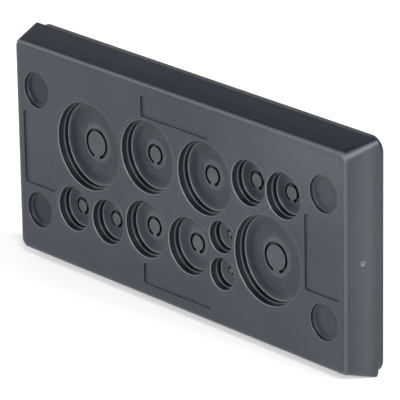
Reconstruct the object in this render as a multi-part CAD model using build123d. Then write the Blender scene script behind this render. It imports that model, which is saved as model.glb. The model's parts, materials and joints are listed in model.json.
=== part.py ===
from build123d import *
from math import radians, tan
import os

# A cable entry plate for a 16-pole cut-out, 86 x 36 mm, with screws on 103 x 32 mm.
# It stands upright as on a cabinet wall: X along its length, Z up, +Y towards the wall.
# The origin is the centre of the screw pattern in the plane of the wall.
# Every sketch is drawn in the front view, where a height is a distance out of the wall.

# Screw holes, and how far they are from the ends, the long edges and the opening
screw_pitch_length = 103.0
screw_pitch_height = 32.0
screw_hole_radius = 2.75
screw_to_end = 9.4
screw_to_edge = 13.6
screw_to_opening = 6.7

# Stiff base frame
frame_corner = 3.7
flange_thickness = 2.2
flange_bevel = 0.4
boss_wall = 2.2
opening_height = 38.4
opening_corner = 4.0
rib_wall = 1.6
rib_spacing = 21.0

# Soft membrane cover
cover_depth = 8.3
cover_overhang = 0.4
draft_angle = 15.0
cover_corner = 1.45
front_round = 1.25
back_bevel = 0.3
front_wall = 2.2
side_wall = 2.2
frame_gap = 0.15
plateau_inset = 1.6
plateau_rise = 0.12
plateau_corner = 1.6

# Cable entries: centre across, centre up, mouth radius, outer radius of the tear groove
large_mouth = 11.2
medium_mouth = 9.2
middle_mouth = 7.2
small_mouth = 5.65
tiny_mouth = 4.0
entries = [
    (-32.0, 6.1, large_mouth, 3.95),
    (32.3, -5.95, large_mouth, 3.95),
    (-10.15, 9.0, medium_mouth, 2.7),
    (10.45, 9.0, medium_mouth, 2.7),
    (-11.0, -10.0, middle_mouth, 2.65),
    (4.7, -10.0, middle_mouth, 2.65),
    (25.95, 11.95, small_mouth, 2.45),
    (37.9, 11.95, small_mouth, 2.45),
    (-38.0, -12.0, small_mouth, 2.3),
    (-25.2, -12.0, small_mouth, 2.3),
    (16.2, -4.5, tiny_mouth, 1.15),
    (16.4, -13.9, tiny_mouth, 1.15),
]
step_depth = 1.6
step_ledge = 0.35
floor_depth = 2.85
mound_rise = 0.45
mound_skirt = 1.9
least_flat_ring = 1.2
disc_rise = 0.15
membrane_thickness = 0.8
groove_width = 0.5
groove_depth = 0.6
bridge_angle = 34.0

# Screw pockets over the four holes
pocket_radius = 4.6
pocket_depth = 1.2
button_radius = 3.4
button_lean = 0.9
button_rise = 0.4

# Shallow marking fields, set in from the edge of the plateau
field_depth = 0.3
field_corner = 0.8
end_field_margin = 0.68
end_field_width = 11.8
end_field_height = 19.2
long_field_margin = 1.68
long_field_width = 24.4
long_field_height = 5.4

# Gate mark on the end wall
gate_radius = 0.75
gate_rise = 0.4

# Seal in the back of the frame
seal_land = 1.0
seal_groove_width = 2.2
seal_groove_depth = 1.2
seal_side_gap = 0.1
seal_stand = 0.4

frame_length = screw_pitch_length + 2 * screw_to_end
frame_height = screw_pitch_height + 2 * screw_to_edge
opening_length = screw_pitch_length - 2 * screw_to_opening
cover_base = flange_thickness
shoulder = cover_base + cover_depth
plateau = shoulder + plateau_rise
wall_back = shoulder - front_wall
plug_back = plateau - floor_depth - membrane_thickness
cover_length = frame_length + 2 * cover_overhang
cover_height = frame_height + 2 * cover_overhang
front_shrink = 2 * cover_depth * tan(radians(draft_angle))
front_length = cover_length - front_shrink
front_height = cover_height - front_shrink
plateau_length = front_length - 2 * plateau_inset
plateau_height = front_height - 2 * plateau_inset
screw_places = [
    (x * screw_pitch_length / 2, z * screw_pitch_height / 2) for x in (-1, 1) for z in (-1, 1)
]
front_view = Plane(origin=(0, 0, 0), x_dir=(1, 0, 0), z_dir=(0, -1, 0))
on_base = (Align.CENTER, Align.CENTER, Align.MIN)


def at(height):
    """A place that far out of the wall."""
    return Pos(0, 0, height)


def drafted_block(length, height, depth):
    """A block that narrows towards the front by the draft angle."""
    return extrude(Rectangle(length, height), depth, taper=draft_angle)


def ring(length, height, corner, wall):
    """A rounded frame whose inner outline is given."""
    outer = RectangleRounded(length + 2 * wall, height + 2 * wall, corner + wall)
    return outer - RectangleRounded(length, height, corner)


def slanted_edges(block):
    """The four corner edges of a drafted block."""
    ends = [block.faces().sort_by(Axis.Z)[0], block.faces().sort_by(Axis.Z)[-1]]
    flat = [edge for face in ends for edge in face.edges()]
    return [edge for edge in block.edges() if not any(edge.is_same(other) for other in flat)]


def cover_shell():
    """Outer form of the cover, with its rounded edges, plateau and hollow back."""
    block = drafted_block(cover_length, cover_height, cover_depth)
    block = fillet(slanted_edges(block), cover_corner)
    block = fillet(block.faces().sort_by(Axis.Z)[-1].edges(), front_round)
    block = chamfer(block.faces().sort_by(Axis.Z)[0].edges(), back_bevel)
    hollow = drafted_block(
        cover_length - 2 * side_wall, cover_height - 2 * side_wall, cover_depth - front_wall
    )
    sunk = front_wall / 2
    outline = RectangleRounded(plateau_length, plateau_height, plateau_corner)
    raised = extrude(outline, sunk + plateau_rise)
    shell = at(cover_base) * (block - hollow) + at(shoulder - sunk) * raised
    return shell + at(plug_back) * opening_plug(wall_back + sunk - plug_back)


def opening_plug(depth):
    """The thick middle of the cover, which fits in the opening of the frame."""
    length = opening_length - 2 * frame_gap
    height = opening_height - 2 * frame_gap
    return extrude(RectangleRounded(length, height, opening_corner - frame_gap), depth)


def marking_fields():
    """Two upright fields at the ends and two lying ones above and below the entries."""
    end = RectangleRounded(end_field_width, end_field_height, field_corner)
    long = RectangleRounded(long_field_width, long_field_height, field_corner)
    end_middle = (plateau_length - end_field_width) / 2 - end_field_margin
    long_middle = (plateau_height - long_field_height) / 2 - long_field_margin
    outlines = [Pos(side * end_middle, 0) * end for side in (-1, 1)]
    outlines += [Pos(0, side * long_middle) * long for side in (-1, 1)]
    return [at(plateau - field_depth) * extrude(outline, 2 * field_depth) for outline in outlines]


def has_mound(mouth, groove_radius):
    """Whether the floor of an entry has room for a mound with a flat ring round it."""
    return mouth - step_ledge - groove_radius - mound_skirt > least_flat_ring


def disc_top(mouth, groove_radius):
    """Height of the disc inside the tear groove, on a mound or only a little proud."""
    rise = mound_rise if has_mound(mouth, groove_radius) else disc_rise
    return plateau - floor_depth + rise


def entry_space(mouth, groove_radius):
    """The space inside an entry: a mouth, one step, and a floor with its middle raised."""
    step = plateau - step_depth
    floor = plateau - floor_depth
    above = plateau + step_depth
    wall = mouth - step_ledge
    disc = groove_radius - groove_width / 2
    foot = groove_radius + mound_skirt if has_mound(mouth, groove_radius) else disc
    top = disc_top(mouth, groove_radius)
    section = Polyline(
        (0, above),
        (mouth, above),
        (mouth, step),
        (wall, step),
        (wall, floor),
        (foot, floor),
        (disc, top),
        (0, top),
        close=True,
    )
    return revolve(Plane.XZ * make_face(section), Axis.Z)


def tear_groove(mouth, groove_radius):
    """A nearly closed ring cut into the membrane, held by one bridge at the bottom."""
    bottom = disc_top(mouth, groove_radius) - groove_depth
    corner = Pos(groove_radius - groove_width, bottom)
    section = corner * Rectangle(groove_width, 2 * groove_depth, align=(Align.MIN, Align.MIN))
    cut = revolve(Plane.XZ * section, Axis.Z, 360 - bridge_angle)
    return Rotation(0, 0, bridge_angle / 2 - 90) * cut


def screw_pocket():
    """A shallow round pocket with a low button over the screw hole."""
    floor = plateau - pocket_depth
    hollow = extrude(Circle(pocket_radius), 2 * pocket_depth)
    button = Cone(button_radius, button_radius - button_lean, button_rise, align=on_base)
    return at(floor) * (hollow - button)


def gate_mark():
    """The stub that the moulding gate leaves half-way up one end wall."""
    half_way = (cover_base + shoulder) / 2
    lean = (half_way - cover_base) * tan(radians(draft_angle))
    stub = extrude(Circle(gate_radius), side_wall / 2 + gate_rise)
    out_of_wall = Rotation(0, 90 - draft_angle, 0)
    return Pos(cover_length / 2 - lean, 0, half_way) * out_of_wall * at(-side_wall / 2) * stub


def membrane_cover():
    """The soft moulding: its shell with the entries, screw pockets and marking fields cut in."""
    cover = cover_shell() + gate_mark()
    for field in marking_fields():
        cover -= field
    for across, up, mouth, groove in entries:
        cover -= Pos(across, up) * entry_space(mouth, groove)
        cover -= Pos(across, up) * tear_groove(mouth, groove)
    for across, up in screw_places:
        cover -= Pos(across, up) * screw_pocket()
    return cover


def frame_ribs():
    """Outline of the ribs that join the opening wall to the edge wall on all four sides."""
    reach_up = (cover_height - opening_height) / 2
    reach_across = (cover_length - opening_length) / 2
    upright = Rectangle(rib_wall, reach_up)
    lying = Rectangle(reach_across, rib_wall)
    ribs = Sketch()
    for side in (-1, 1):
        for index in (-2, -1, 0, 1, 2):
            ribs += Pos(index * rib_spacing, side * (opening_height + reach_up) / 2) * upright
        for up in (-screw_pitch_height / 2, 0, screw_pitch_height / 2):
            ribs += Pos(side * (opening_length + reach_across) / 2, up) * lying
    return ribs


def frame_walls():
    """Edge wall and opening wall of the frame and the ribs between them, under the cover."""
    inset = side_wall + frame_gap
    length = cover_length - 2 * inset
    height = cover_height - 2 * inset
    depth = wall_back - flange_thickness
    outer = drafted_block(length, height, depth)
    edge_wall = outer - drafted_block(length - 2 * rib_wall, height - 2 * rib_wall, depth)
    opening_wall = extrude(ring(opening_length, opening_height, opening_corner, rib_wall), depth)
    ribs = extrude(frame_ribs(), depth) & outer
    return at(flange_thickness) * (edge_wall + opening_wall + ribs)


def seal_groove():
    """The channel in the back of the frame, between the opening and the screws."""
    inner_length = opening_length + 2 * seal_land
    inner_height = opening_height + 2 * seal_land
    outline = ring(inner_length, inner_height, opening_corner + seal_land, seal_groove_width)
    return extrude(outline, seal_groove_depth)


def base_frame():
    """The stiff moulding: flange, walls, ribs, screw bosses and the opening for the cables."""
    flange = extrude(RectangleRounded(frame_length, frame_height, frame_corner), flange_thickness)
    flange = chamfer(flange.faces().sort_by(Axis.Z)[0].edges(), flange_bevel)
    frame = flange + frame_walls()
    boss = extrude(Circle(screw_hole_radius + boss_wall), wall_back - flange_thickness)
    for across, up in screw_places:
        frame += Pos(across, up, flange_thickness) * boss
    frame -= extrude(RectangleRounded(opening_length, opening_height, opening_corner), wall_back)
    for across, up in screw_places:
        frame -= Pos(across, up) * extrude(Circle(screw_hole_radius), wall_back)
    return frame - seal_groove()


def panel_seal():
    """The rubber ring in that channel, which stands a little out of the frame."""
    inset = seal_land + seal_side_gap
    outline = ring(
        opening_length + 2 * inset,
        opening_height + 2 * inset,
        opening_corner + inset,
        seal_groove_width - 2 * seal_side_gap,
    )
    return at(-seal_stand) * extrude(outline, seal_groove_depth + seal_stand)


def place(piece):
    """Turn a piece from the front view to its place on the wall."""
    return front_view.location * piece


os.makedirs("parts", exist_ok=True)
export_step(place(membrane_cover()), "parts/membrane_cover.step")
export_step(place(base_frame()), "parts/base_frame.step")
export_step(place(panel_seal()), "parts/panel_seal.step")
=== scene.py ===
# %% [markdown]
# A cable entry plate in Blender
#
# This lesson dresses a small plate that closes a cut-out in a cabinet wall.
# Cables are pushed through the twelve round membranes of its soft rubber cover.
# Behind the cover there is a stiff frame with screw bosses, and a sealing ring in its back.
#
# The plate was first drawn in CAD, and that model is loaded here as a fixed frame.
# Its frame and its seal keep their CAD shape and get a material.
# The cover is made again as a Blender mesh, because its look depends on small round edges
# that a plain CAD model leaves sharp.
# The box round the CAD model is kept, and the floor is set at its foot.

# %% Load the frame
import json
import bmesh
import bpy
from math import cos, pi, radians, sin, tan
from mathutils import Matrix, Vector

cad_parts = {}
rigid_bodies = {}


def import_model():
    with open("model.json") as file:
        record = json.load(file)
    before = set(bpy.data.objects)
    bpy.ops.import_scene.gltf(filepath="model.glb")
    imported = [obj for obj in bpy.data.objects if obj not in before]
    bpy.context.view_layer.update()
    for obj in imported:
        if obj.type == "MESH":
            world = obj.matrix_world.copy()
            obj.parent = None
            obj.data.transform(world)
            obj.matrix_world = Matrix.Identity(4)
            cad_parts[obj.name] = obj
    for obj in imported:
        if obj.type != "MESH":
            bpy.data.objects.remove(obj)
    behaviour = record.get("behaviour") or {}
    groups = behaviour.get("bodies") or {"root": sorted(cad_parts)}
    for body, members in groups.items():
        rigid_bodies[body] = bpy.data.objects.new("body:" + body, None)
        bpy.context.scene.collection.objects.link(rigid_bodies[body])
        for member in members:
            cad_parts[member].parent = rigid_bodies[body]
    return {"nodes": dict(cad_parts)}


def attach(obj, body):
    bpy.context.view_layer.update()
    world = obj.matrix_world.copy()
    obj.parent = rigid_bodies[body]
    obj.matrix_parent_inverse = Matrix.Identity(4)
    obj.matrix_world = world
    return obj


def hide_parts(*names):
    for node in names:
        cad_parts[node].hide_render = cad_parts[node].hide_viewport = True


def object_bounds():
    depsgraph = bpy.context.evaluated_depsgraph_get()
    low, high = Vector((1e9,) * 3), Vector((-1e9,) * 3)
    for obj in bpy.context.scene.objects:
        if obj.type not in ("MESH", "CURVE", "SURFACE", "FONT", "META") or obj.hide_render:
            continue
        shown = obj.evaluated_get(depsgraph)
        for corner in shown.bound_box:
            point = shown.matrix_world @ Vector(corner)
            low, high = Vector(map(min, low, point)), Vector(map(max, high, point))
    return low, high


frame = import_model()
cad_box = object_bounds()
print("CAD nodes:", sorted(frame["nodes"]))

# %% [markdown]
# Where the camera stands
#
# The picture to match was taken from the front, from the right and a little from above.
# A camera can be aimed in two ways: turn it by hand, or give it three axes.
# Three axes are exact, so this camera gets its right, up and backward directions
# from a turn, a tilt and a roll, which were measured on the straight edges of the plate.
# A long lens from nearly a metre away keeps the perspective as weak as it is in the picture.

# %% Camera
MM = 0.001
camera_place = Vector((654.35, -593.42, 335.25)) * MM
camera_turn = radians(47.920)
camera_tilt = radians(20.906)
camera_roll = radians(-0.952)


def camera_axes():
    """Right, up and backward directions of the camera."""
    right = Vector((cos(camera_turn), sin(camera_turn), 0))
    level = Vector((-sin(camera_turn), cos(camera_turn), 0))
    forward = level * cos(camera_tilt) - Vector((0, 0, sin(camera_tilt)))
    up = right.cross(forward)
    rolled_right = right * cos(camera_roll) + up * sin(camera_roll)
    rolled_up = up * cos(camera_roll) - right * sin(camera_roll)
    return rolled_right, rolled_up, -forward


camera_data = bpy.data.cameras.new("camera")
camera_data.lens = 349.02
camera_data.sensor_width = 36
camera_data.clip_start = 0.05
camera_data.clip_end = 50
camera = bpy.data.objects.new("camera", camera_data)
bpy.context.scene.collection.objects.link(camera)
camera.matrix_world = Matrix.Translation(camera_place) @ Matrix(camera_axes()).transposed().to_4x4()
bpy.context.scene.camera = camera
print("camera is", round(camera_place.length, 3), "m from the middle of the plate")

# %% [markdown]
# Drawing in the front view
#
# Everything on the cover is easiest to think of in the front view:
# how far across, how far up, and how far out of the wall, in millimetres.
# One small function turns such a point into a point of the scene.
# The wall lies in the plane y = 0 and the front of the plate looks along -y.
# The outer sizes are the ones of the CAD model, so both models fill the same space.

# %% Sizes of the cover
cover_length = 122.6
cover_height = 60.0
cover_base = 2.2
shoulder = 10.5
plateau = 10.62
draft = 15
lean = tan(radians(draft))
front_inset = (shoulder - cover_base) * lean
front_shift = 0.35


def front_point(across, up, out):
    """A point of the front view, in millimetres, as a point of the scene."""
    return Vector((across, -out, up)) * MM


print("the front face stands", plateau, "mm out of the wall")

# %% [markdown]
# Arcs and outlines
#
# A moulded part has no sharp corner, so nearly every section and outline has arcs in it.
# Blender's Bevel modifier could round a sharp mesh afterwards, but it stumbles
# where many small features meet. Here each arc is drawn as points, where it is wanted.

# %% Arc and rounded outline
corner_steps = 12


def arc(middle, radius, start, end, steps):
    """Points of a section along an arc: 0 degrees points away from the axis, 90 out of the wall."""
    angles = [radians(start + (end - start) * step / steps) for step in range(steps + 1)]
    return [(middle[0] + radius * cos(angle), middle[1] + radius * sin(angle)) for angle in angles]


def rounded_outline(length, height, corner):
    """Points round a rectangle with round corners, anticlockwise from its right side."""
    points = []
    for start, right, top in ((0, 1, 1), (90, -1, 1), (180, -1, -1), (270, 1, -1)):
        middle = (right * (length / 2 - corner), top * (height / 2 - corner))
        points += arc(middle, corner, start, start + 90, corner_steps)
    return points


outline_points = len(rounded_outline(cover_length, cover_height, 1))
print("a rounded outline has", outline_points, "points")

# %% [markdown]
# A loft
#
# The body of the cover is a stack of rounded rectangles. A loft joins one outline
# to the next and closes the stack at both ends. Blender has no loft of its own,
# and with mesh code each outline can be placed on purpose, so a short function does it.

# %% Loft
def new_piece(name, shape):
    """A new object from a finished bmesh, with its faces turned outwards."""
    bmesh.ops.recalc_face_normals(shape, faces=shape.faces)
    mesh = bpy.data.meshes.new(name)
    shape.to_mesh(mesh)
    shape.free()
    piece = bpy.data.objects.new(name, mesh)
    bpy.context.scene.collection.objects.link(piece)
    return piece


def loft(name, rings, middle=(0, 0)):
    """A closed form through rounded outlines: distance out, length, height, corner and shift."""
    shape = bmesh.new()
    loops = []
    for out, length, height, corner, *shift in rings:
        outline = rounded_outline(length, height, corner)
        start = middle[0] + sum(shift)
        places = [front_point(start + across, middle[1] + up, out) for across, up in outline]
        loops.append([shape.verts.new(place) for place in places])
    for lower, upper in zip(loops, loops[1:]):
        for index in range(len(lower)):
            after = (index + 1) % len(lower)
            shape.faces.new((lower[index], lower[after], upper[after], upper[index]))
    shape.faces.new(loops[0])
    shape.faces.new(loops[-1])
    return new_piece(name, shape)


print("two outlines are joined by", outline_points, "faces")

# %% [markdown]
# The body of the cover
#
# On the real plate the cover is one soft moulding: a shallow tray turned over the frame.
# Its sides lean in by 15 degrees so that it leaves the mould, and its front edge is round.
# The front carries a plateau that is only an eighth of a millimetre high.
# The whole front lies a third of a millimetre to the left of the base,
# so the right end leans a little more than the left one.
# The rings below run from the plug that fills the frame's opening, through the hollow,
# round the rim at the back, up the outside and over the front edge to the plateau.

# %% Outlines of the body
base_corner = 1.5
front_corner = 2.0
front_round = 1.3
plateau_corner = 1.2
plateau_inset = 3.75
plateau_round = 0.06


def inset_ring(inset, corner, out):
    """An outline of the cover, set in from the outline of its base."""
    return out, cover_length - 2 * inset, cover_height - 2 * inset, corner


def front_edge():
    """Rings along the front edge, from the leaning wall to the shoulder."""
    level = front_inset + front_round * tan(radians((90 - draft) / 2))
    rings = []
    for outward, out in arc((0, shoulder - front_round), front_round, draft, 90, steps=12):
        share = (out - cover_base) / (shoulder - cover_base)
        corner = base_corner + (front_corner - base_corner) * share
        rings.append((*inset_ring(level - outward, corner, out), -front_shift * share))
    return rings


def plateau_edge():
    """Rings round the edge of the plateau, which lies a little to the left of the base."""
    rings = []
    for outward, out in arc((0, plateau - plateau_round), plateau_round, 0, 90, steps=3):
        inset = plateau_round - outward
        ring = inset_ring(plateau_inset + inset, plateau_corner - inset, out)
        rings.append((*ring, -front_shift))
    return rings


print("the front edge takes", len(front_edge()), "rings, the plateau", len(plateau_edge()))

# %% Body
wall_back = 8.3
side_wall = 2.2
hollow_corner = 0.4
plug_length = 89.3
plug_height = 38.1
plug_back = 6.97
plug_corner = 3.85
plug_round = 0.3
rim_round = 0.23
rim_inset = 0.3


def body_rings():
    """All outlines of the body, from the plug at the back to the plateau in front."""
    rings = []
    for outward, out in arc((0, plug_back + plug_round), plug_round, -90, 0, steps=3):
        inset = plug_round - outward
        rings.append((out, plug_length - 2 * inset, plug_height - 2 * inset, plug_corner - inset))
    rings.append((wall_back, plug_length, plug_height, plug_corner))
    rings.append(inset_ring(side_wall + (wall_back - cover_base) * lean, hollow_corner, wall_back))
    rings.append(inset_ring(side_wall, hollow_corner, cover_base))
    for outward, out in arc((0, cover_base + rim_round), rim_round, -90, draft, steps=5):
        inset = rim_inset - outward
        rings.append(inset_ring(inset, base_corner - inset, out))
    return rings + front_edge() + plateau_edge()


cover = loft("cable_cover", body_rings())
print("cover body:", len(cover.data.vertices), "points")

# %% [markdown]
# Twelve entries from one list
#
# Each entry has its place, the radius of its mouth and the radius of its tear groove.
# Drawing each of them separately would be slow and uneven, so one list drives them all:
# the collars, the wells and the tear grooves.

# %% List of entries
entries = [
    (-32.0, 6.1, 11.2, 3.95),
    (32.3, -5.95, 11.2, 3.95),
    (-10.15, 9.0, 9.2, 2.7),
    (10.45, 9.0, 9.2, 2.7),
    (-11.0, -10.0, 7.2, 2.65),
    (4.7, -10.0, 7.2, 2.65),
    (25.95, 11.95, 5.65, 2.45),
    (37.9, 11.95, 5.65, 2.45),
    (-38.0, -12.0, 5.65, 2.3),
    (-25.2, -12.0, 5.65, 2.3),
    (16.2, -4.5, 4.0, 1.15),
    (16.4, -13.9, 4.0, 1.15),
]
print(len(entries), "entries,", len({mouth for _, _, mouth, _ in entries}), "sizes of mouth")

# %% [markdown]
# Turned tools
#
# The round features of the cover are turned forms, as if they were made on a lathe:
# a section is spun round an axis. The Screw modifier could do it, but a function
# that closes the form at its axis makes a solid tool in one go.
# A tool is then added to the body, or cut out of it, with a Boolean modifier.
# The Manifold solver is quick and keeps the mesh closed, as long as every tool is closed.

# %% Spin and the Boolean helper
tools = []


def fineness(radius):
    """How many steps a circle of that radius is drawn with."""
    return 8 * round(4 + radius)


def spin(name, section, middle, steps):
    """A turned form. The section runs from the axis round to the axis again."""
    shape = bmesh.new()
    poles = [shape.verts.new(front_point(*middle, section[end][1])) for end in (0, -1)]
    loops = []
    for radius, out in section[1:-1]:
        loop = []
        for step in range(steps):
            angle = 2 * pi * step / steps
            across = middle[0] + radius * cos(angle)
            loop.append(shape.verts.new(front_point(across, middle[1] + radius * sin(angle), out)))
        loops.append(loop)
    for index in range(steps):
        after = (index + 1) % steps
        shape.faces.new((poles[0], loops[0][index], loops[0][after]))
        shape.faces.new((poles[1], loops[-1][after], loops[-1][index]))
        for lower, upper in zip(loops, loops[1:]):
            shape.faces.new((lower[index], upper[index], upper[after], lower[after]))
    return new_piece(name, shape)


def use_tool(tool, operation):
    """Add a tool to the cover or cut it out, as one more modifier."""
    change = cover.modifiers.new(tool.name, "BOOLEAN")
    change.operation = operation
    change.solver = "MANIFOLD"
    change.object = tool
    tool.hide_render = True
    tools.append(tool)


print("the largest mouth is turned in", fineness(entries[0][2]), "steps")

# %% [markdown]
# Collars round the mouths
#
# A thin raised collar stiffens the rubber round every mouth, and where two mouths are close
# their collars flow together. Ridges drawn as curves would have to be trimmed by hand there.
# Flat discs that are joined to the body before the wells are cut merge by themselves.

# %% Collars
collar_width = 1.2
collar_top = plateau + 0.1
collar_round = 0.08
collar_root = shoulder - 0.8
for number, (across, up, mouth, _) in enumerate(entries):
    edge = mouth + collar_width - collar_round
    rounding = arc((edge, collar_top - collar_round), collar_round, 0, 90, steps=3)
    section = [(0, collar_root), (mouth + collar_width, collar_root), *rounding, (0, collar_top)]
    use_tool(spin(f"collar_{number}", section, (across, up), fineness(mouth)), "UNION")
print(len(entries), "collars,", round(collar_top - plateau, 2), "mm high")

# %% [markdown]
# The floor of an entry
#
# The floor is the membrane. It curves up a little towards the wall, like a dish,
# and rises into a soft mound round the tear groove. The disc inside the groove stands
# a little higher again. A flat floor would look like sheet metal, so both curves are drawn.
# The mound follows a smooth step, 3t^2 - 2t^3, which starts and ends level.

# %% Mound of a floor
step_ledge = 0.3
wide_room = 3.1
wide_skirt = 1.9
wide_mound = 0.25
small_mound = 0.1
skirt_share = 0.35


def smooth_rise(start, end, steps):
    """Points from one place of a section to another, level at both ends."""
    points = []
    for step in range(1, steps + 1):
        share = step / steps
        rise = share * share * (3 - 2 * share)
        radius = start[0] + (end[0] - start[0]) * share
        points.append((radius, start[1] + (end[1] - start[1]) * rise))
    return points


def mound_of(mouth, groove):
    """Radius where the mound starts, and its rise at the groove."""
    room = mouth - step_ledge - groove
    if room > wide_room:
        return groove + wide_skirt, wide_mound
    return groove + skirt_share * room, small_mound


starts = [mound_of(mouth, groove)[0] for _, _, mouth, groove in entries]
print("mounds start", round(min(starts), 2), "to", round(max(starts), 2), "mm from the middle")

# %% Groove and dish of a floor
floor_depth = 3.1
disc_rise = 0.27
widest_groove = 0.75
groove_share = 0.42
widest_dish = 2.0
dish_share = 0.7
dish_slope = 0.1
dish_margin = 0.17
dish_steps = 6


def groove_width(groove):
    """The width of a tear groove. The smallest entries have a narrower one."""
    return min(widest_groove, groove_share * groove)


def dish(wall, foot, floor):
    """The outer part of a floor, which curves up a little towards the wall."""
    width = min(widest_dish, dish_share * (wall - foot))
    rise = dish_slope * width
    start = wall - dish_margin
    shares = [step / dish_steps for step in range(dish_steps + 1)]
    return [(start - width * share, floor + rise * (1 - share) ** 2) for share in shares]


narrowest_groove = min(groove_width(groove) for _, _, _, groove in entries)
print("grooves are", round(narrowest_groove, 2), "to", widest_groove, "mm wide")

# %% [markdown]
# The section of an entry
#
# Seen in section, an entry is a stepped well. Its lip is round, because a rubber moulding
# has no sharp edges, and catches a thin line of light. A narrow ledge breaks the wall.
# The whole section is one line from above the plate to the middle of the membrane,
# so one spun tool cuts lip, ledge, wall and floor together.

# %% Wells
lip_round = 0.42
step_depth = 1.6
step_fillet = 0.06
ledge_round = 0.12
floor_fillet = 0.2
tool_clearance = 0.01
tool_reach = 1
disc_crown = ((0.4, 0.02), (0, 0.03))


def round_lip(radius, top, rounding):
    """The top of a cutting tool, flared so that it leaves a round lip."""
    clear = top + tool_clearance
    flare = arc((radius + rounding, clear - rounding), rounding, 90, 180, steps=6)
    return [(0, clear + tool_reach), (radius + rounding, clear + tool_reach), *flare]


def entry_section(mouth, groove):
    """The space of an entry, from above the plate down to the middle of the membrane."""
    step = plateau - step_depth
    floor = plateau - floor_depth
    disc = floor + disc_rise
    wall = mouth - step_ledge
    foot, mound = mound_of(mouth, groove)
    edge = dish(wall, foot, floor)
    section = round_lip(mouth, collar_top, lip_round)
    section += arc((mouth - step_fillet, step + step_fillet), step_fillet, 0, -90, steps=2)
    section += arc((wall + ledge_round, step - ledge_round), ledge_round, 90, 180, steps=4)
    section += arc((wall - floor_fillet, edge[0][1] + floor_fillet), floor_fillet, 0, -70, steps=4)
    section += edge[1:]
    section += smooth_rise((foot, floor), (groove, floor + mound), steps=8)
    section += smooth_rise((groove, floor + mound), (groove - groove_width(groove), disc), steps=3)
    section += [(groove * share, disc + rise) for share, rise in disc_crown]
    return section


for number, (across, up, mouth, groove) in enumerate(entries):
    well = spin(f"well_{number}", entry_section(mouth, groove), (across, up), fineness(mouth))
    use_tool(well, "DIFFERENCE")
print("each entry is", floor_depth, "mm deep")

# %% [markdown]
# Tear grooves
#
# A thin groove runs round the middle of each membrane, so that it tears out as a disc.
# One short bridge at the bottom keeps the disc in place until a cable needs the hole.
# A spun tool would cut the whole ring, so the groove is a narrow band
# swept along most of a circle and closed at both ends.

# %% Tear grooves
bridge_angle = 34
film = 0.15
above_disc = 0.3


def sweep_band(name, section, middle, start, turn, steps):
    """A closed band: a section carried along part of a circle."""
    shape = bmesh.new()
    loops = []
    for step in range(steps + 1):
        angle = radians(start + turn * step / steps)
        loop = []
        for radius, out in section:
            across = middle[0] + radius * cos(angle)
            loop.append(shape.verts.new(front_point(across, middle[1] + radius * sin(angle), out)))
        loops.append(loop)
    for first, second in zip(loops, loops[1:]):
        for index in range(len(section)):
            after = (index + 1) % len(section)
            shape.faces.new((first[index], second[index], second[after], first[after]))
    shape.faces.new(loops[0])
    shape.faces.new(loops[-1])
    return new_piece(name, shape)


for number, (across, up, _, groove) in enumerate(entries):
    top = plateau - floor_depth + disc_rise + above_disc
    bottom = plug_back + film
    inner = groove - groove_width(groove)
    section = [(inner, bottom), (groove, bottom), (groove, top), (inner, top)]
    turn = 360 - bridge_angle
    start = bridge_angle / 2 - 90
    band = sweep_band(f"groove_{number}", section, (across, up), start, turn, fineness(groove))
    use_tool(band, "DIFFERENCE")
print("grooves leave a bridge of", bridge_angle, "degrees")

# %% [markdown]
# Screw pockets
#
# Near each corner a round pocket hides a screw boss of the frame.
# It has a narrow ring part-way down and a low flat button in its middle,
# which the fitter pushes through with the screw. The button could be a disc of its own,
# but it belongs to the same moulding, so one spun tool leaves ring and button standing.

# %% Screw pockets
screw_places = [(across, up) for across in (-51.5, 51.5) for up in (-16.0, 16.0)]
pocket_radius = 4.6
pocket_ring = plateau - 0.85
pocket_floor = plateau - 1.2
pocket_fillet = 0.05
ring_inside = 4.12
ring_round = 0.1
button_radius = 3.4
button_rise = 0.13
button_crown = ((1.6, 0.01), (0, 0.02))
pocket_lip = 0.2
pocket_section = [
    *round_lip(pocket_radius, plateau, pocket_lip),
    *arc((pocket_radius - pocket_fillet, pocket_ring + pocket_fillet), pocket_fillet, 0, -90, steps=2),
    *arc((ring_inside + ring_round, pocket_ring - ring_round), ring_round, 90, 180, steps=3),
    *arc((ring_inside - pocket_fillet, pocket_floor + pocket_fillet), pocket_fillet, 0, -90, steps=2),
    *arc((button_radius, pocket_floor), button_rise, 0, 90, steps=4),
    *[(radius, pocket_floor + button_rise + rise) for radius, rise in button_crown],
]
for number, place in enumerate(screw_places):
    use_tool(spin(f"pocket_{number}", pocket_section, place, steps=72), "DIFFERENCE")
print(len(screw_places), "screw pockets")

# %% [markdown]
# Marking fields
#
# Two upright and two lying fields are sunk a little into the plateau, one near each side.
# They are bare and flat. A plain box would leave knife-sharp edges,
# so they are cut with a loft whose top flares out and whose foot is rounded.

# %% Marking fields
field_depth = 0.45
field_corner = 0.8
field_edge = 0.06
field_foot = 0.03
field_clearance = 0.005
fields = [
    (11.8, 19.2, (-50.9, 0)),
    (11.8, 19.2, (50.9, 0)),
    (24.4, 5.4, (0, -21.8)),
    (24.4, 5.4, (0, 21.8)),
]


def field_ring(out, length, height, outward):
    """An outline of a field, grown outwards by a little."""
    return out, length + 2 * outward, height + 2 * outward, field_corner + outward


def field_tool(name, length, height, middle):
    """The space of one shallow field with soft edges."""
    floor = plateau - field_depth
    flare = arc((field_edge, plateau + field_clearance - field_edge), field_edge, 90, 180, steps=4)
    foot = arc((-field_foot, floor + field_foot), field_foot, 0, -90, steps=3)
    rings = [field_ring(plateau + tool_reach, length, height, field_edge)]
    rings += [field_ring(out, length, height, outward) for outward, out in flare + foot]
    return loft(name, rings, middle)


for number, (length, height, middle) in enumerate(fields):
    use_tool(field_tool(f"field_{number}", length, height, middle), "DIFFERENCE")
print(len(fields), "marking fields,", field_depth, "mm deep")

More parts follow.
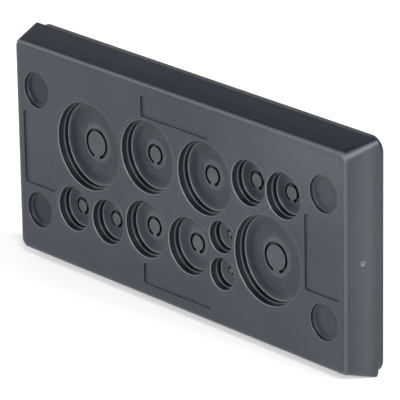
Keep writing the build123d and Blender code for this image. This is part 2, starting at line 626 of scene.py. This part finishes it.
# %% [markdown]
# Gate mark
#
# Liquid rubber enters the mould through a small gate in the middle of the right end wall.
# Where it was cut off it leaves a low round stub with a slightly hollow top.
# A bump in the material would vanish at the outline, so it is a small turned form.
# It is spun in the front view and then turned to stand square on the leaning wall.

# %% Gate mark
gate_radius = 0.75
gate_round = 0.12
gate_rise = 0.4
gate_turn = 73
gate_root = -1
gate_hollow = ((0.4, 0.33), (0, 0.3))
gate_out = (cover_base + shoulder) / 2
gate_across = cover_length / 2 - (front_inset + front_shift) / 2
gate_rounding = arc((gate_radius - gate_round, gate_rise - gate_round), gate_round, 0, 90, steps=4)
gate_section = [(0, gate_root), (gate_radius, gate_root), *gate_rounding, *gate_hollow]
gate = spin("gate_mark", gate_section, (0, 0), steps=32)
gate.data.transform(Matrix.Rotation(radians(gate_turn), 4, "Z"))
gate.data.transform(Matrix.Translation(front_point(gate_across, 0, gate_out)))
use_tool(gate, "UNION")
print("gate mark at", round(gate_across, 2), "mm from the middle")

# %% [markdown]
# Settle the cover
#
# The stack of modifiers is evaluated once and its result becomes the mesh of the cover.
# The tools are then removed, so nothing hidden is left in the scene.
# The live modifiers could stay, but then every later step would wait for them,
# and the finished mesh couldn't be checked for open edges and loose points.

# %% Settle the cover
weld_distance = 0.5e-6
bpy.context.view_layer.update()
graph = bpy.context.evaluated_depsgraph_get()
finished = bpy.data.meshes.new_from_object(cover.evaluated_get(graph))
cover.modifiers.clear()
cover.data = finished
for tool in tools:
    bpy.data.objects.remove(tool)

check = bmesh.new()
check.from_mesh(finished)
bmesh.ops.remove_doubles(check, verts=check.verts, dist=weld_distance)
bmesh.ops.dissolve_degenerate(check, edges=check.edges, dist=weld_distance)
open_edges = sum(not edge.is_manifold for edge in check.edges)
loose_points = sum(not point.link_faces for point in check.verts)
check.to_mesh(finished)
check.free()
finished.calc_loop_triangles()
print("cover:", len(finished.loop_triangles), "triangles")
print("open edges:", open_edges, "and loose points:", loose_points)

# %% [markdown]
# Smooth and sharp edges
#
# The roundings are made of short flat facets, which should look like one curve.
# Edges sharper than 38 degrees stay sharp, all others are shaded smooth.
# Weighted normals let the large flat faces keep a flat look next to the small roundings.
# More and finer facets could do the same, at many times the size of the mesh.

# %% Smooth and sharp edges
sharp_angle = 38
finished.polygons.foreach_set("use_smooth", [True] * len(finished.polygons))
finished.set_sharp_from_angle(angle=radians(sharp_angle))
shading = cover.modifiers.new("flat faces stay flat", "WEIGHTED_NORMAL")
shading.keep_sharp = True
print("edges above", sharp_angle, "degrees stay sharp")

# %% [markdown]
# Nodes from Python
#
# Every finish here is a tree of nodes. Such a tree could be drawn by hand in the shader
# editor, but then it can't be read in a lesson or used again for the next material.
# Short functions add one node each and return the socket that the next one needs.

# %% Node helpers
nodes_in_a_row = 8
node_spacing = (220, 260)
first_column = -1800


def add_node(tree, kind, **values):
    """A new node in the next free place. Values are named after its sockets or its settings."""
    row, column = divmod(len(tree.nodes), nodes_in_a_row)
    node = tree.nodes.new(kind)
    node.location = (first_column + node_spacing[0] * column, -node_spacing[1] * row)
    for name, value in values.items():
        label = name.replace("_", " ").title()
        if label in node.inputs:
            node.inputs[label].default_value = value
        else:
            setattr(node, name, value)
    return node


def plug_in(tree, socket, value):
    """Link a socket to the one that carries its value, or give it a plain value."""
    if isinstance(value, bpy.types.NodeSocket):
        tree.links.new(value, socket)
    else:
        socket.default_value = value


def calculate(tree, operation, *values):
    """One Math node. Each value is a socket or a plain number."""
    node = add_node(tree, "ShaderNodeMath", operation=operation)
    for socket, value in zip(node.inputs, values):
        plug_in(tree, socket, value)
    return node.outputs["Value"]


print("nodes are laid out in rows of", nodes_in_a_row)

# %% Ranges, noise and mixed colours
colour_inputs = (6, 7)
colour_output = 2


def remap(tree, value, low, high, new_low=0.0, new_high=1.0):
    """Carry a value from one range to another, held at both ends."""
    node = add_node(tree, "ShaderNodeMapRange", from_min=low, from_max=high)
    node.inputs["To Min"].default_value = new_low
    node.inputs["To Max"].default_value = new_high
    tree.links.new(value, node.inputs["Value"])
    return node.outputs["Result"]


def noise(tree, where, scale, detail=2.0, roughness=0.5):
    """Noise with a scale given per millimetre."""
    node = add_node(tree, "ShaderNodeTexNoise", scale=scale, detail=detail, roughness=roughness)
    tree.links.new(where, node.inputs["Vector"])
    return node.outputs["Fac"]


def blend_colours(tree, share, first, second):
    """A mix of two colours. Each is a socket or a plain colour."""
    node = add_node(tree, "ShaderNodeMix", data_type="RGBA")
    tree.links.new(share, node.inputs["Factor"])
    for index, colour in zip(colour_inputs, (first, second)):
        socket = node.inputs[index]
        plug_in(tree, socket, (*colour, 1) if isinstance(colour, tuple) else colour)
    return node.outputs[colour_output]


print("a Mix node takes two colours at its sockets", colour_inputs)

# %% [markdown]
# Satin rubber
#
# The real cover is a dark slate grey elastomer. It isn't one flat colour: the tone drifts
# a little across the plate, a very fine mould grain breaks up the reflections,
# and the edges are rubbed slightly lighter and smoother by handling.
# A photographed texture would need unwrapping and shows its seams. Noise that reads
# the object's own coordinates has no seams and stays in place from every side.
# A Bevel node finds the edges: it rounds the normal near an edge, and the more that
# differs from the true normal, the nearer the edge is.

# %% Coordinates and edges
edge_samples = 6
edge_alignment = (1.0, 0.85)


def new_material(name):
    """A material with its tree, its shader and its coordinates in millimetres."""
    material = bpy.data.materials.new(name)
    material.use_nodes = True
    tree = material.node_tree
    coordinates = add_node(tree, "ShaderNodeTexCoord")
    scale = add_node(tree, "ShaderNodeVectorMath", operation="SCALE")
    scale.inputs["Scale"].default_value = 1 / MM
    tree.links.new(coordinates.outputs["Object"], scale.inputs[0])
    return material, tree, tree.nodes["Principled BSDF"], scale.outputs["Vector"]


def edge_share(tree, radius):
    """1 along edges and 0 on flat faces, by comparing a rounded normal with the true one."""
    bevel = add_node(tree, "ShaderNodeBevel", samples=edge_samples, radius=radius * MM)
    true_normal = add_node(tree, "ShaderNodeNewGeometry")
    compare = add_node(tree, "ShaderNodeVectorMath", operation="DOT_PRODUCT")
    tree.links.new(bevel.outputs["Normal"], compare.inputs[0])
    tree.links.new(true_normal.outputs["Normal"], compare.inputs[1])
    return remap(tree, compare.outputs["Value"], *edge_alignment)


print("edges are found with", edge_samples, "samples")

# %% Satin rubber
rubbed_reach = 0.3
rubbed_strength = 0.3
speck_strength = 0.12
grain_height = 0.02
grain_strength = 0.25
edge_polish = -0.06


def base_tone(tree, where, dark, light, worn):
    """Colour that drifts from dark to light, with fine specks and rubbed edges."""
    drift = noise(tree, where, 0.045, detail=3.0)
    grain = noise(tree, where, 5.0, detail=3.0, roughness=0.6)
    edge = edge_share(tree, rubbed_reach)
    rubbed = calculate(tree, "MULTIPLY", edge, rubbed_strength)
    tone = blend_colours(tree, remap(tree, drift, 0.3, 0.7), dark, light)
    specks = remap(tree, grain, 0.35, 0.75, 0.0, speck_strength)
    tone = blend_colours(tree, specks, tone, worn)
    return blend_colours(tree, rubbed, tone, worn), grain, edge


def make_rubber(name, dark, light, worn, roughness, dress=None):
    """Moulded rubber with drifting tone, fine grain and rubbed edges."""
    material, tree, shader, where = new_material(name)
    shader.inputs["IOR"].default_value = 1.4
    tone, grain, edge = base_tone(tree, where, dark, light, worn)
    if dress:
        tone = dress(tree, where, tone)
    tree.links.new(tone, shader.inputs["Base Color"])
    cloud = noise(tree, where, 0.6)
    sheen = remap(tree, cloud, 0.3, 0.7, roughness - 0.04, roughness + 0.05)
    polished = calculate(tree, "MULTIPLY_ADD", edge, edge_polish, sheen)
    tree.links.new(polished, shader.inputs["Roughness"])
    bump = add_node(tree, "ShaderNodeBump", strength=grain_strength, distance=grain_height * MM)
    tree.links.new(grain, bump.inputs["Height"])
    tree.links.new(bump.outputs["Normal"], shader.inputs["Normal"])
    print(name, "has", len(tree.nodes), "nodes")
    return material


print("the mould grain is", grain_height, "mm high")

# %% [markdown]
# Masks from shape
#
# Rubber in a well gets painted shade, and a lip gets a painted highlight.
# Both could be painted by hand, but two measures find them: how deep a point lies
# behind the plateau, and which way the surface faces. A mask is a number from 0 to 1
# made of such measures, and a product of masks is 1 only where all of them are.

# %% Parts and products
def part_of(tree, vector, axis):
    """One of the three parts of a vector."""
    split = add_node(tree, "ShaderNodeSeparateXYZ")
    tree.links.new(vector, split.inputs[0])
    return split.outputs[axis]


def multiply(tree, mask, *others):
    """The product of masks, each of them a socket or a plain number."""
    for other in others:
        mask = calculate(tree, "MULTIPLY", mask, other)
    return mask


def between(tree, value, start, full, still, end):
    """0 up to the start, 1 from full to still, and 0 again from the end."""
    return multiply(tree, remap(tree, value, start, full), remap(tree, value, still, end, 1.0, 0.0))


print("a mask is 1 from full to still, and 0 outside start and end")

# %% Masks from shape
dressed_length = (56.6, 57.0)
dressed_height = (24.7, 25.0)
rounded_front = (0.5, 0.85, 0.93, 0.99)
level_front = (0.9, 0.98)
steep_front = (0.3, 0.5)


def read_cover(tree, where):
    """Which way the surface of the cover faces, and where it lies, as named masks and measures."""
    normal = add_node(tree, "ShaderNodeNewGeometry").outputs["Normal"]
    spot = {"rightward": part_of(tree, normal, "X"), "upward": part_of(tree, normal, "Z")}
    spot["front"] = multiply(tree, part_of(tree, normal, "Y"), -1.0)
    spot["across"] = part_of(tree, where, "X")
    spot["up"] = part_of(tree, where, "Z")
    spot["depth"] = calculate(tree, "ADD", part_of(tree, where, "Y"), plateau)
    reach_across = calculate(tree, "ABSOLUTE", spot["across"])
    reach_up = calculate(tree, "ABSOLUTE", spot["up"])
    spot["inside"] = multiply(
        tree,
        remap(tree, reach_across, *dressed_length, 1.0, 0.0),
        remap(tree, reach_up, *dressed_height, 1.0, 0.0),
    )
    spot["rounded"] = between(tree, spot["front"], *rounded_front)
    spot["flat"] = remap(tree, spot["front"], *level_front)
    spot["level"] = multiply(tree, spot["inside"], spot["flat"])
    facing = calculate(tree, "ABSOLUTE", spot["front"])
    spot["steep"] = multiply(tree, spot["inside"], remap(tree, facing, *steep_front, 1.0, 0.0))
    return spot


print("masks of the front reach", dressed_length[1], "mm across and", dressed_height[1], "mm up")

# %% [markdown]
# Shades of the outside
#
# Painted highlights go on the roundings of the cover, most of all on the lips and
# the slanted corner edge, and on the stub of the gate.
# The top wall gets painted shade, and the end walls a painted lighter band across their middle.
# Lips that face the lamps get the palest paint, to help the thin lines of light along them.
# Each of these is a layer: a mask, how strong it is, and the colour it blends in.

# %% Shades of the outside
# The first colour is edge wear, and it also paints light: paler roundings, mounds, floors and a band
# on the end walls.
worn_and_lit_rubber = (0.070, 0.075, 0.084)
# The second colour is painted highlight on lips, the corner edge and the gate stub, and also the
# colour of pale stains.
highlight_and_stain_rubber = (0.145, 0.151, 0.162)
# The third colour is painted shade.
shaded_rubber = (0.003, 0.006, 0.012)


def painted_highlight_layers(tree, spot):
    """Painted highlights on the roundings and on the lips that face the lamps, and painted light on
    the upper right of the front.
    """
    painted_light_right = remap(tree, spot["across"], 15.0, 45.0)
    painted_light_top = remap(tree, spot["up"], 5.0, 24.0)
    toward_lamp = calculate(tree, "MULTIPLY_ADD", spot["upward"], 0.45, spot["rightward"])
    lit_lip = remap(tree, toward_lamp, 0.08, 0.45, 0.1, 0.9)
    # Painted highlights on roundings and lips, and a painted lighter upper right part of the front.
    return [
        (spot["rounded"], 0.6, worn_and_lit_rubber),
        (multiply(tree, painted_light_right, painted_light_top, spot["flat"]), 0.4, worn_and_lit_rubber),
        (multiply(tree, spot["rounded"], spot["inside"], lit_lip), 1.0, highlight_and_stain_rubber),
    ]


def wall_layers(tree, spot):
    """Painted shade on the top wall, and a painted lighter band across the middle of the end walls."""
    top_wall = remap(tree, spot["upward"], 0.8, 0.95)
    top_shade = remap(tree, spot["depth"], 2.6, 5.2, 0.8, 0.5)
    end_wall = remap(tree, calculate(tree, "ABSOLUTE", spot["rightward"]), 0.5, 0.8)
    end_middle = between(tree, spot["depth"], 0.5, 5.2, 6.0, 8.3)
    # Painted shade on the top wall, and painted light across the middle of the end walls.
    return [
        (multiply(tree, top_wall, top_shade), 1.0, shaded_rubber),
        (multiply(tree, end_middle, end_wall), 0.3, worn_and_lit_rubber),
    ]


# The worn colour also paints light, and the polished one paints highlights as well as stains.
print("colours of the outside: worn", worn_and_lit_rubber, "and polished", highlight_and_stain_rubber)

# %% Corner edge and gate
corner_upward = (0.0, 0.4, 0.5, 0.85)
stub_reach = (0.78, 0.9)


def distance_from(tree, where, point):
    """How far the surface is from a point, in millimetres."""
    node = add_node(tree, "ShaderNodeVectorMath", operation="DISTANCE")
    tree.links.new(where, node.inputs[0])
    node.inputs[1].default_value = point
    return node.outputs["Value"]


def corner_and_gate_layers(tree, where, spot):
    """Painted highlights along the slanted corner edge at the upper right and on the stub of the gate.
    """
    slanted = between(tree, spot["upward"], *corner_upward)
    right_side = remap(tree, spot["rightward"], 0.4, 0.75)
    outside = remap(tree, spot["inside"], 0.0, 1.0, 1.0, 0.0)
    from_gate = distance_from(tree, where, (gate_across, -gate_out, 0))
    stub = remap(tree, from_gate, *stub_reach, 1.0, 0.0)
    stub_lit_side = remap(tree, spot["upward"], -0.3, 0.3, 0.15, 0.6)
    # Painted highlights on the corner edge and on the side of the gate stub that faces up.
    return [
        (multiply(tree, slanted, right_side, outside), 0.6, highlight_and_stain_rubber),
        (multiply(tree, stub, stub_lit_side), 1.0, highlight_and_stain_rubber),
    ]


print("the stub of the gate reaches", stub_reach[0], "mm from its middle")

# %% [markdown]
# Shades of the wells
#
# Deep in a well little light arrives, so the foot of a floor gets painted shade
# and its mound a painted lighter tone. Walls under the ledge, the borders of the fields
# and the tear grooves get painted shade, nearly black. Each of these lies in its own band
# of depth behind the plateau, so a few named bands are enough to tell them apart.

# %% Shades of the wells
pocket_bottom = (0.7, 0.84, 1.3, 1.4)
mound_slope = (2.3, 2.35, 2.88, 3.06)
floor_foot = (2.96, 3.09)


def floor_layers(tree, spot):
    """A painted lighter tone on the mounds, and painted shade in the screw pockets and at the foot of
    each floor.
    """
    pocket_side = remap(tree, spot["across"], -50.0, 50.0, 1.0, 0.5)
    pocket = between(tree, spot["depth"], *pocket_bottom)
    mound = between(tree, spot["depth"], *mound_slope)
    foot = remap(tree, spot["depth"], *floor_foot)
    # Painted light on the mounds, painted shade in the pockets and at the foot of each floor.
    return [
        (multiply(tree, spot["level"], mound), 0.3, worn_and_lit_rubber),
        (multiply(tree, spot["level"], pocket, pocket_side), 1.0, shaded_rubber),
        (multiply(tree, spot["level"], foot), 0.4, shaded_rubber),
    ]


print("the dark foot of a floor starts", floor_foot[0], "mm behind the plateau")

# %% Paler floors and stains
well_bottom = (2.3, 2.5)
smallest_across = (12.0, 12.4, 20.2, 20.6)


def lower_floor_layers(tree, spot):
    """Painted light that makes the floors of the two smallest entries and of the lower row paler, as
    in the picture.
    """
    floors = multiply(tree, spot["level"], remap(tree, spot["depth"], *well_bottom))
    smallest = between(tree, spot["across"], *smallest_across)
    below_middle = remap(tree, spot["up"], -0.8, -0.5, 1.0, 0.0)
    left_of_smallest = remap(tree, spot["across"], 11.9, 12.0, 1.0, 0.0)
    lower_row = remap(tree, spot["up"], -6.5, -3.0, 1.0, 0.0)
    # Painted light on these floors.
    return [
        (multiply(tree, floors, smallest, below_middle), 0.6, worn_and_lit_rubber),
        (multiply(tree, floors, left_of_smallest, lower_row), 0.25, worn_and_lit_rubber),
    ]


def stain_layers(tree, where, spot):
    """Faint pale stains on the floors."""
    stains = remap(tree, noise(tree, where, 0.35, detail=3.0), 0.5, 0.75)
    floors = multiply(tree, spot["level"], remap(tree, spot["depth"], *well_bottom))
    return [(multiply(tree, stains, floors), 0.06, highlight_and_stain_rubber)]


print("the smallest entries lie", smallest_across[1], "to", smallest_across[2], "mm across")

# %% Crevices
# Painted shade, nearly black, in crevices where little light falls.
crevice_shade_black = (0.002, 0.002, 0.003)
field_wall = (0.04, 0.1, 0.42, 0.5)
under_ledge = (1.9, 2.3)
slit_depth = (3.12, 3.16, 3.54, 3.6)


def crevice_layers(tree, spot):
    """Painted shade: dark borders of the fields, black walls under the ledges and black tear grooves.
    """
    border = between(tree, spot["depth"], *field_wall)
    wall = remap(tree, spot["depth"], *under_ledge)
    slit = between(tree, spot["depth"], *slit_depth)
    return [
        (multiply(tree, spot["steep"], border), 0.6, crevice_shade_black),
        (multiply(tree, spot["steep"], wall), 1.0, crevice_shade_black),
        (multiply(tree, spot["inside"], slit), 1.0, crevice_shade_black),
    ]


print("walls turn black", under_ledge[1], "mm behind the plateau")

# %% [markdown]
# The finish of the cover
#
# The layers are blended one over the other, from the broad ones to the narrow ones.
# One material with masks was chosen over several materials on groups of faces,
# because the shades of moulded rubber fade into each other and have no seam.

# %% The finish of the cover
def shade_cover(tree, where, tone):
    """Painted highlights on roundings, painted shade on floors and in crevices, found from depth and
    direction.
    """
    spot = read_cover(tree, where)
    corner, gate_stub = corner_and_gate_layers(tree, where, spot)
    layers = painted_highlight_layers(tree, spot) + wall_layers(tree, spot)
    layers += floor_layers(tree, spot) + lower_floor_layers(tree, spot)
    layers += [corner, *stain_layers(tree, where, spot), gate_stub]
    layers += crevice_layers(tree, spot)
    for mask, strength, colour in layers:
        tone = blend_colours(tree, multiply(tree, mask, strength), tone, colour)
    return tone


cover_rubber = make_rubber(
    "cover_rubber",
    dark=(0.013, 0.018, 0.025),
    light=(0.020, 0.025, 0.034),
    worn=worn_and_lit_rubber,
    roughness=0.37,
    dress=shade_cover,
)
cover.data.materials.clear()
cover.data.materials.append(cover_rubber)
print("the cover's finish is", cover.data.materials[0].name)

# %% [markdown]
# Frame and seal
#
# The frame behind the cover is a stiff plastic of nearly the same grey, a little duller.
# The ring in its back is soft black rubber, which is the dullest of the three.
# Both could be modelled again, but they are simple forms that the CAD model shows well,
# so both keep their CAD mesh, and only their material slots change.

# %% Frame and seal finishes
frame_plastic = make_rubber(
    "frame_plastic",
    dark=(0.018, 0.020, 0.024),
    light=(0.023, 0.025, 0.029),
    worn=(0.040, 0.042, 0.046),
    roughness=0.46,
)
seal_rubber = make_rubber(
    "seal_rubber",
    dark=(0.012, 0.012, 0.013),
    light=(0.018, 0.018, 0.019),
    worn=(0.035, 0.035, 0.036),
    roughness=0.62,
)
for node_name, finish in (("base_frame", frame_plastic), ("panel_seal", seal_rubber)):
    node = frame["nodes"][node_name]
    node.data.materials.clear()
    node.data.materials.append(finish)
print("finishes:", frame_plastic.name, seal_rubber.name)

# %% [markdown]
# Floor
#
# The plate stands on a plain white floor. The camera looks down on it, so the floor is
# the whole background. Stronger lamps could make it white, but they would bleach the plate.
# A little extra brightness for camera, glossy and transmission rays does it instead:
# it adds no diffuse light to the plate, and the shadow stays.

# %% Floor
floor_half_width = 6
floor_glow = 0.35


def seen_directly(tree):
    """1 for rays that show the floor itself: camera, glossy and transmission rays."""
    path = add_node(tree, "ShaderNodeLightPath")
    seen = path.outputs["Is Camera Ray"]
    for label in ("Is Glossy Ray", "Is Transmission Ray"):
        seen = calculate(tree, "MAXIMUM", seen, path.outputs[label])
    return seen


floor_shape = bmesh.new()
bmesh.ops.create_grid(floor_shape, x_segments=8, y_segments=8, size=floor_half_width)
studio_floor = new_piece("studio_floor", floor_shape)
studio_floor.location = (0, 0, cad_box[0].z)
floor_material = bpy.data.materials.new("floor_white")
floor_material.use_nodes = True
floor_tree = floor_material.node_tree
floor_shader = floor_tree.nodes["Principled BSDF"]
floor_shader.inputs["Base Color"].default_value = (0.8, 0.8, 0.8, 1)
floor_shader.inputs["Roughness"].default_value = 0.9
floor_shader.inputs["Specular IOR Level"].default_value = 0.1
floor_shader.inputs["Emission Color"].default_value = (1, 1, 1, 1)
glow = remap(floor_tree, seen_directly(floor_tree), 0.0, 1.0, 0.0, floor_glow)
floor_tree.links.new(glow, floor_shader.inputs["Emission Strength"])
studio_floor.data.materials.append(floor_material)
print("floor at z =", round(studio_floor.location.z, 5))

# %% [markdown]
# Lamps
#
# The key lamp stands in front of the plate and slightly above it, and a broad weak lamp
# on the left lights the front edge. A lamp on the right lights the end wall and
# the slanted corner, and a small one high on the right lights the round lips.
# Sun lamps would need fewer numbers, but their light is hard. Square lamps give the soft
# edges of studio light. The lamp on the right stays out of reflections, because
# seen from the left its mirror image would turn the satin top wall white.

# %% Lamps
def add_lamp(name, place, size, power):
    """A square soft lamp aimed at the plate, in metres and watts."""
    lamp = bpy.data.lights.new(name, "AREA")
    lamp.shape = "SQUARE"
    lamp.size = size
    lamp.energy = power
    holder = bpy.data.objects.new(name, lamp)
    bpy.context.scene.collection.objects.link(holder)
    holder.location = place
    holder.rotation_mode = "QUATERNION"
    holder.rotation_quaternion = Vector(place).to_track_quat("Z", "Y")
    return holder


add_lamp("key_lamp", (0.1, -1.17, 0.28), size=0.45, power=10.0)
add_lamp("left_lamp", (-0.9, -0.8, 0.4), size=0.8, power=3.5)
edge_lamp = add_lamp("edge_lamp", (0.88, 0.2, 0.46), size=0.36, power=10.0)
edge_lamp.visible_glossy = False
add_lamp("corner_lamp", (0.6, -0.42, 0.7), size=0.25, power=4.5)

# %% [markdown]
# Sky
#
# In a studio the walls are pale and the room above is dark. A plain white world would
# light the top wall as much as the front, so the sky fades from pale at the horizon
# to dark overhead. It depends only on how far up a ray goes.

# %% Sky
horizon_colour = (1.1, 1.1, 1.1)
overhead_colour = (0.04, 0.045, 0.06)
sky_fade = (0.35, 0.62)
world = bpy.data.worlds.new("studio")
world.use_nodes = True
bpy.context.scene.world = world
sky = world.node_tree
direction = add_node(sky, "ShaderNodeTexCoord")
height_share = remap(sky, part_of(sky, direction.outputs["Generated"], "Z"), *sky_fade)
sky_colour = blend_colours(sky, height_share, horizon_colour, overhead_colour)
sky.links.new(sky_colour, sky.nodes["Background"].inputs["Color"])
sky.nodes["Background"].inputs["Strength"].default_value = 1.0
print("sky runs from", horizon_colour, "at the horizon to", overhead_colour, "overhead")

# %% [markdown]
# Hand the scene over
#
# The view transform Standard shows a colour as it is written.
# The new cover rides on the root body of the frame and stands for the CAD cover,

# %% Hand over
bpy.context.scene.view_settings.view_transform = "Standard"
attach(cover, "root")
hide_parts("membrane_cover")
